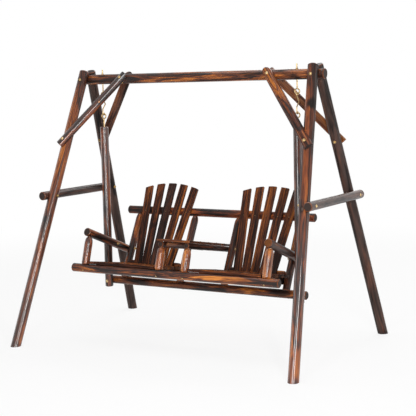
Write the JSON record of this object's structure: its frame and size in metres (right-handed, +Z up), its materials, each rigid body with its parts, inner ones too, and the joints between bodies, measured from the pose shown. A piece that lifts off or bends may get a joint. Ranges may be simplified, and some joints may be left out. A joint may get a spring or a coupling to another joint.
{
  "type": "porch swing with stand",
  "caption": "Rustic log porch swing: two fan-back chairs joined by a small sloping table, hung on S-hooks and eye bolts from a braced A-frame stand.",
  "frame": {"origin": "middle of the footprint of the stand, on the floor", "axes": "+X runs along the beam to the right as seen from the front, +Y to the back, +Z up"},
  "size_m": [1.9812, 1.3526, 1.7018],
  "materials": {
    "scorched_log": "flame-scorched round log with streaks of brown, black and orange under a satin coat",
    "scorched_log_dark": "deeply scorched round log, near black and grey brown, satin coat",
    "scorched_log_bright": "round log with orange grain between black scorch streaks, satin coat",
    "scorched_board": "flat scorched board with raised grain, dark reddish brown with orange patches, low sheen",
    "zinc_yellow_steel": "steel plated with yellow zinc"
  },
  "bodies": {
    "stand": {"beam": "scorched_log", "leg_front_left": "scorched_log", "leg_front_right": "scorched_log", "leg_rear_left": "scorched_log_dark", "leg_rear_right": "scorched_log_dark", "side_bar_left": "scorched_log_dark", "side_bar_right": "scorched_log_dark", "brace_front_left": "scorched_log_bright", "brace_front_right": "scorched_log_bright", "brace_rear_left": "scorched_log_dark", "brace_rear_right": "scorched_log_dark", "beam_eye_left": "zinc_yellow_steel", "beam_eye_right": "zinc_yellow_steel", "beam_eye_nuts": "zinc_yellow_steel", "apex_bolts": "zinc_yellow_steel", "side_bar_bolts": "zinc_yellow_steel", "brace_bolts": "zinc_yellow_steel"},
    "s_hook_left": {"s_hook_left": "zinc_yellow_steel"},
    "s_hook_right": {"s_hook_right": "zinc_yellow_steel"},
    "bench": {"hang_post_left": "scorched_log", "hang_post_right": "scorched_log", "post_eye_left": "zinc_yellow_steel", "post_eye_right": "zinc_yellow_steel", "front_rail": "scorched_log_bright", "lower_rail": "scorched_log", "back_rail": "scorched_log", "back_post_outer_left": "scorched_log_bright", "back_post_inner_left": "scorched_log", "back_post_inner_right": "scorched_log", "back_post_outer_right": "scorched_log_bright", "seat_rear_rail_left": "scorched_log_dark", "seat_rear_rail_right": "scorched_log_dark", "seat_bearers_left": "scorched_board", "seat_bearers_right": "scorched_board", "slat_left_1": "scorched_board", "slat_left_2": "scorched_board", "slat_left_3": "scorched_board", "slat_left_4": "scorched_board", "slat_left_5": "scorched_board", "slat_right_1": "scorched_board", "slat_right_2": "scorched_board", "slat_right_3": "scorched_board", "slat_right_4": "scorched_board", "slat_right_5": "scorched_board", "seat_boards_left": "scorched_board", "seat_boards_right": "scorched_board", "arm_left": "scorched_log_dark", "arm_right": "scorched_log_dark", "arm_post_left": "scorched_log_bright", "arm_post_right": "scorched_log_bright", "table_post_left": "scorched_log_bright", "table_post_right": "scorched_log_bright", "table_front_rail": "scorched_log_dark", "table_side_rail_left": "scorched_log_dark", "table_side_rail_right": "scorched_log_dark", "table_boards": "scorched_board", "bench_bolts": "zinc_yellow_steel"}
  },
  "joints": [
    {"name": "s_hook_left_swing", "type": "hinge", "parent": "stand", "child": "s_hook_left", "pos_m": [-0.692, 0, 1.525], "axis": [1, 0, 0], "range_deg": [-20, 20]},
    {"name": "s_hook_right_swing", "type": "hinge", "parent": "stand", "child": "s_hook_right", "pos_m": [0.692, 0, 1.525], "axis": [1, 0, 0], "range_deg": [-20, 20]},
    {"name": "bench_swing", "type": "hinge", "parent": "s_hook_left", "child": "bench", "pos_m": [-0.692, 0, 1.417], "axis": [1, 0, 0], "range_deg": [-8, 8]}
  ],
  "couplings": [
    {"joint": "s_hook_right_swing", "follows": "s_hook_left_swing", "ratio": 1}
  ]
}
